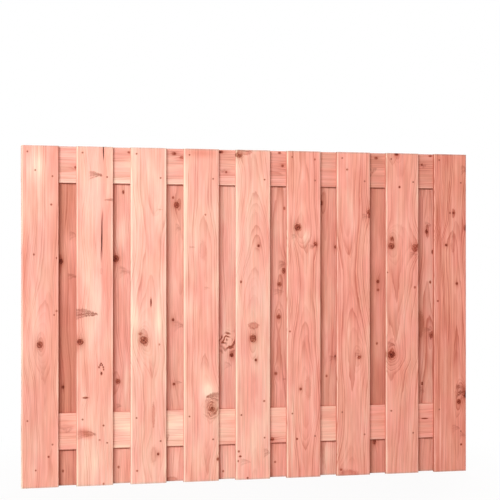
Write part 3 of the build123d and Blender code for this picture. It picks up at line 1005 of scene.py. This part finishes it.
def drawn_steel():
    """Wire nails come bright from the drawing die and go brown in wet larch, whose acids stain them: a dull
    metal with darker blots."""
    material, add, shader = new_material("tarnished_steel_wire")
    place = add("TexCoord").outputs["Object"]
    blots = add("TexNoise", place, named={"Scale": 1 / (BLOT_SIZE * MM), "Detail": 2.0})
    tint = add("ValToRGB", blots, stops=[(0.35, colour("#7E4534")), (0.65, colour("#A86C58"))])
    rough = add("MapRange", blots, 0.3, 0.7, 0.6, 0.4)
    fill(shader, {"Base Color": tint, "Roughness": rough, "Metallic": 0.15, "Specular IOR Level": 0.25})
    return material


nail_finish = drawn_steel()
nail_pieces = [nail_group(name, nail_finish) for name in nail_groups]
print("nail groups:", len(nail_pieces), "faces:", sum(len(piece.data.polygons) for piece in nail_pieces))

# %% [markdown]
# ## Floor, light and camera
# The photograph is a cut-out on white, with daylight that comes from the left and fades to the right. A white floor
# and a white world stand for the cut-out: rays from the camera see plain white there, while the object is lit by a
# calmer, warm sky and a lamp on the left. That lamp is a wide, low strip: its width keeps the shadows beside the
# boards soft, and its small height draws a crisp dark line under each rail. A second strip behind does the same for
# the other side of the panel. The floor still takes a part of its brightness from the light, so the panel keeps a
# faint shadow.

# %% A pale floor and a white world
FLOOR_HALF = 14.0
SHADOW_FROM, SHADOW_REACH, SHADOW_SHARE = 0.6, 1.6, 0.06
SKY_LIGHT = (0.4, 0.225, 0.165, 1.0)


def seen_directly(add):
    """1 for rays that the camera sees, also in a mirror or through glass, and 0 for rays that light things."""
    path = add("LightPath").outputs
    mirrored = add("Math ADD", path["Is Camera Ray"], path["Is Glossy Ray"])
    return add("Math ADD", mirrored, path["Is Transmission Ray"], use_clamp=True)


def pale_floor():
    """A square of white floor under the panel. Near the panel a share of what is seen is lit and shaded, so that it
    keeps the shadow, and further out the floor is the plain white of the background."""
    corners = np.array([(-1, -1, 0), (1, -1, 0), (1, 1, 0), (-1, 1, 0)]) * FLOOR_HALF
    floor = mesh_piece("studio_floor", corners, np.array([[0, 1, 2, 3]]))
    material, add, shader = new_material("white_studio_floor")
    fill(shader, {"Base Color": colour("#C8C8C8"), "Roughness": 0.9})
    away = add("VectorMath LENGTH", add("TexCoord").outputs["Object"])
    white = add("MapRange", away, SHADOW_FROM, SHADOW_REACH, 1 - SHADOW_SHARE, 1, interpolation_type="SMOOTHSTEP")
    share = add("Math MULTIPLY", seen_directly(add), white)
    glow = add("Emission", WHITE, 1.0)
    mixed = add("MixShader", share, shader, glow)
    output = next(node for node in material.node_tree.nodes if node.type == "OUTPUT_MATERIAL")
    fill(output, {"Surface": mixed})
    floor.data.materials.append(material)
    return floor


floor = pale_floor()
world = bpy.data.worlds.new("white_studio")
bpy.context.scene.world = world
world.use_nodes = True
add_to_world = functools.partial(add_node, world.node_tree)
sky_seen = add_to_world("Mix", named={"Factor": seen_directly(add_to_world), "A": SKY_LIGHT, "B": WHITE},
                        data_type="RGBA")
fill(world.node_tree.nodes["Background"], {"Color": sky_seen, "Strength": 1.0})
bpy.context.scene.view_settings.view_transform = "Standard"
print("floor", floor.name, "sky light", SKY_LIGHT[:3])

# %% Soft lamps
LAMP_COLOUR = (0.947, 0.975, 0.995)
LAMPS = {  # place, target, width, height and watts
    "front_lamp": ((-2.9, -5.2, 2.8), (0.0, 0.0, 0.6), 3.4, 0.4, 405.0),
    "left_lamp": ((-3.0, -0.7, 1.0), (-0.2, 0.0, 0.65), 1.0, 1.0, 6.3),
    "back_lamp": ((2.9, 5.2, 2.8), (0.0, 0.0, 0.6), 3.4, 0.4, 285.0),
}


def soft_lamp(name, place, target, wide, tall, watts):
    """A lamp as large as a window, which throws soft shadows. It stands at a place and faces a target."""
    lamp = bpy.data.lights.new(name, "AREA")
    lamp.shape = "RECTANGLE"
    lamp.size, lamp.size_y = wide, tall
    lamp.energy = watts
    lamp.color = LAMP_COLOUR
    thing = bpy.data.objects.new(name, lamp)
    bpy.context.scene.collection.objects.link(thing)
    thing.location = place
    right, ahead, up = np.array(target) - np.array(place)
    thing.rotation_euler = (math.pi / 2 + math.atan2(up, math.hypot(right, ahead)), 0, math.atan2(-right, ahead))


for name, settings in LAMPS.items():
    soft_lamp(name, *settings)
print("lamps:", ", ".join(LAMPS))

# %% The camera
CAMERA_PLACE = (-1.080, -4.669, 0.843)
CAMERA_TURN = math.radians(12.942)
SENSOR_WIDTH, LENS, SHIFT_UP = 36.0, 86.97, 0.0316

camera_data = bpy.data.cameras.new("view_camera")
camera_data.sensor_width = SENSOR_WIDTH
camera_data.lens = LENS
camera_data.shift_y = SHIFT_UP
camera = bpy.data.objects.new("view_camera", camera_data)
camera.location = CAMERA_PLACE
camera.rotation_euler = (math.pi / 2, 0, -CAMERA_TURN)
bpy.context.scene.collection.objects.link(camera)
bpy.context.scene.camera = camera
print("camera at", CAMERA_PLACE, "turned", round(math.degrees(CAMERA_TURN), 1), "degrees")
